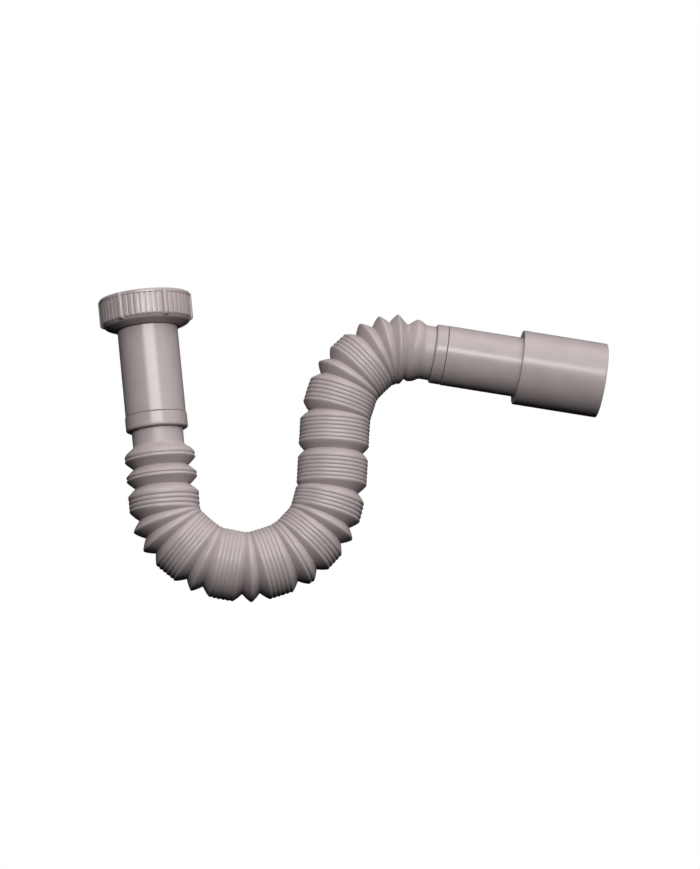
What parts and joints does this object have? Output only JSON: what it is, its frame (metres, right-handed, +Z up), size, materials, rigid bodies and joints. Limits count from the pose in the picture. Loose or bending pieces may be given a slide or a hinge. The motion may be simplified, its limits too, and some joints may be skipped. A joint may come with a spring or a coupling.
{
  "type": "flexible sink trap",
  "caption": "Flexible bellows sink trap: union nut inlet, a pleated hose curved into a water seal and an elbow, and a stepped outlet pipe.",
  "frame": {"origin": "centre of the sealing washer's top face, where the end of the sink's waste seats inside the union nut", "axes": "+Z up along the inlet axis, out of the nut's mouth; +X from the inlet towards the outlet; the trap lies in the XZ plane, so Y is its thin way"},
  "size_m": [0.3359, 0.0606, 0.2091],
  "materials": {
    "moulded_grey": "satin injection-moulded polypropylene",
    "hose_grey": "satin blow-moulded polypropylene",
    "black_rubber": "matt moulded rubber"
  },
  "bodies": {
    "inlet": {"inlet_tube": "moulded_grey", "inlet_collar": "moulded_grey", "sealing_washer": "black_rubber"},
    "nut": {"union_nut": "moulded_grey"},
    "hose": {"hose_inlet_limb": "hose_grey", "hose_trap_start": "hose_grey", "hose_trap_bottom": "hose_grey", "hose_trap_end": "hose_grey", "hose_riser": "hose_grey", "hose_elbow": "hose_grey"},
    "outlet": {"hose_outlet_end": "hose_grey", "outlet_collar": "moulded_grey", "outlet_tube": "moulded_grey", "outlet_sleeve": "moulded_grey"}
  },
  "joints": [
    {"name": "nut_turn", "type": "hinge", "parent": "inlet", "child": "nut", "pos_m": [0, 0, 0], "axis": [0, 0, 1], "continuous": true},
    {"name": "hose_stretch", "type": "slide", "parent": "inlet", "child": "hose", "axis": [0, 0, -1], "range_m": [-0.01, 0.012], "deforming": ["hose_inlet_limb"]},
    {"name": "outlet_bend", "type": "hinge", "parent": "hose", "child": "outlet", "pos_m": [0.1434, 0, -0.0431], "axis": [0, 1, 0], "range_deg": [-35, 20], "deforming": ["hose_elbow", "hose_outlet_end"]}
  ]
}
